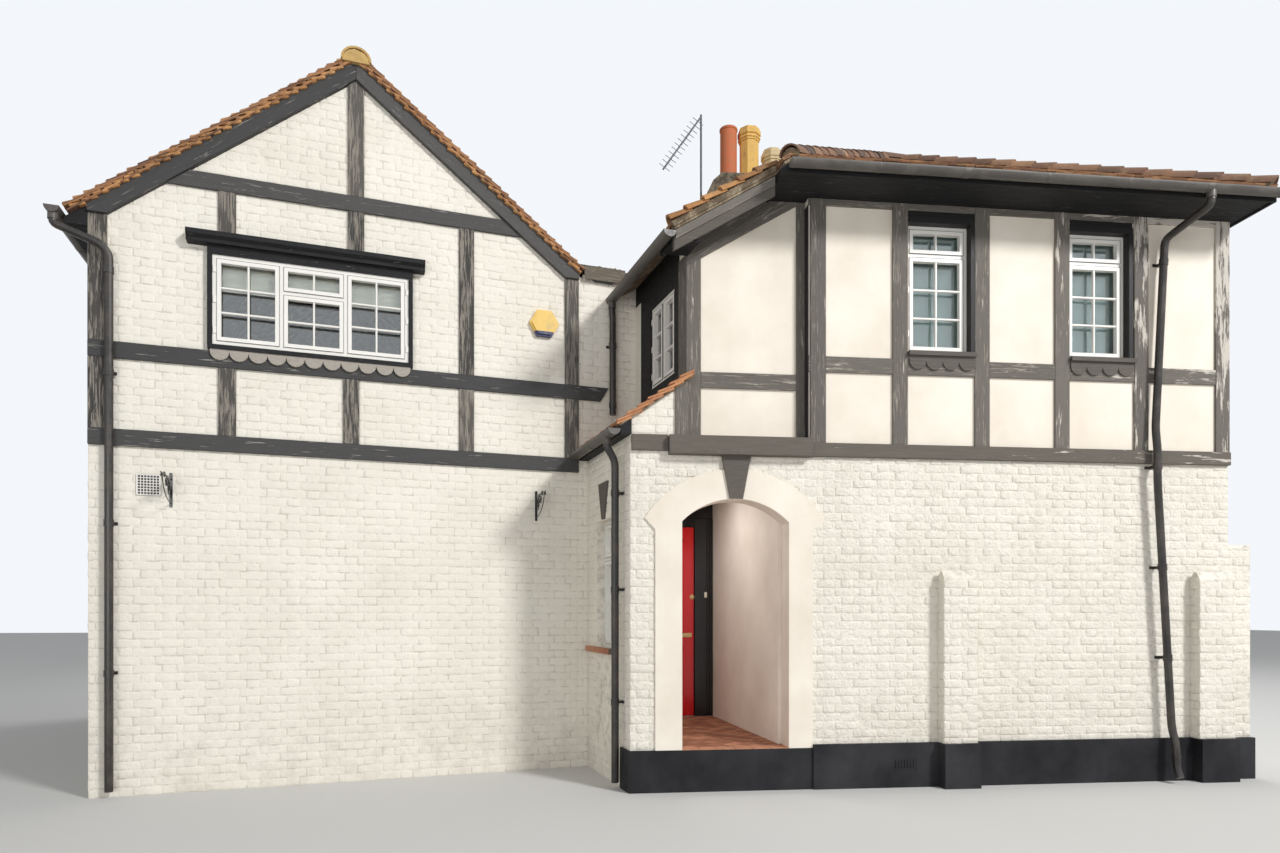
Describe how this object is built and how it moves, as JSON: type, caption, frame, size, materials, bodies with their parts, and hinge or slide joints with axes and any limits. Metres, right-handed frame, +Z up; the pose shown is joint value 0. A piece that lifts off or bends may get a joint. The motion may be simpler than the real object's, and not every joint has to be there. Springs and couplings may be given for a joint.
{
  "type": "half timbered house",
  "caption": "Two-storey half timbered house: a gabled block and a hipped wing with an arched porch and a red front door.",
  "frame": {"origin": "middle of the arch at the front of the wing, at the lowest ground level", "axes": "+X to the right along the wing front, -Y out of the wing front, +Z up"},
  "size_m": [12.476, 8.7438, 8.59],
  "materials": {
    "white_brick": "painted brick",
    "cream_render": "painted render",
    "porch_render": "smooth render",
    "black_plinth": "painted render",
    "charcoal_timber": "weathered paint",
    "grey_timber": "weathered paint",
    "cream_timber": "painted",
    "floor_board": "bare boards",
    "quarry_tile": "worn",
    "roof_tile": "weathered clay",
    "hip_tile": "weathered clay",
    "ridge_tile": "lichened clay",
    "flat_felt": "matt",
    "white_frame": "gloss paint",
    "window_pane": "clear",
    "black_frame": "gloss paint",
    "red_door": "gloss paint",
    "black_pipe": "painted",
    "grey_gutter": "weathered",
    "stack_brick": "weathered brick and mortar",
    "clay_pot": "clay",
    "alarm_yellow": "satin",
    "black_iron": "painted",
    "aerial_metal": "dull"
  },
  "bodies": {
    "house": {"gable_front_wall": "white_brick", "gable_left_wall": "white_brick", "gable_right_wall": "white_brick", "gable_back_wall": "white_brick", "gable_ground_floor": "floor_board", "gable_first_floor": "floor_board", "gable_timbers": "charcoal_timber", "bargeboards": "charcoal_timber", "eaves_box": "charcoal_timber", "gable_roof": "roof_tile", "gable_ridge_tiles": "ridge_tile", "box_window_frame": "white_frame", "box_window_hood": "charcoal_timber", "box_window_apron": "cream_timber", "recess_wall": "white_brick", "side_wall": "white_brick", "front_left_pier": "white_brick", "front_right_wall": "white_brick", "arch_head": "white_brick", "arch_surround": "cream_render", "keystones": "charcoal_timber", "plinth_left": "black_plinth", "plinth_right": "black_plinth", "pilasters": "white_brick", "end_pier": "white_brick", "wing_right_wall": "white_brick", "wing_back_wall": "white_brick", "wing_ground_floor": "floor_board", "wing_first_floor": "floor_board", "porch_floor": "quarry_tile", "porch_right_wall": "porch_render", "porch_back_wall": "porch_render", "door_frame": "black_frame", "wing_beams": "grey_timber", "main_front": "cream_render", "left_facet": "cream_render", "upper_side_wall": "charcoal_timber", "wing_timbers": "grey_timber", "facet_timbers": "grey_timber", "wing_windows": "white_frame", "side_windows": "white_frame", "window_sills": "grey_timber", "wing_roof": "roof_tile", "wing_hip_tiles": "hip_tile", "wing_eaves": "charcoal_timber", "facet_bargeboard": "grey_timber", "lean_to_roof": "roof_tile", "link_roof": "flat_felt", "chimney_stack": "stack_brick", "chimney_pots": "clay_pot", "gutters": "grey_gutter", "downpipes": "black_pipe", "back_windows": "white_frame", "window_glass": "window_pane", "alarm_box": "alarm_yellow", "vent_grille": "white_frame", "wall_brackets": "black_iron", "aerial": "aerial_metal"},
    "door": {"front_door": "red_door"}
  },
  "joints": [
    {"name": "front_door_hinge", "type": "hinge", "parent": "house", "child": "door", "pos_m": [-0.7877, 2.371, 0], "axis": [0, 0, 1], "range_deg": [0, 90]}
  ]
}
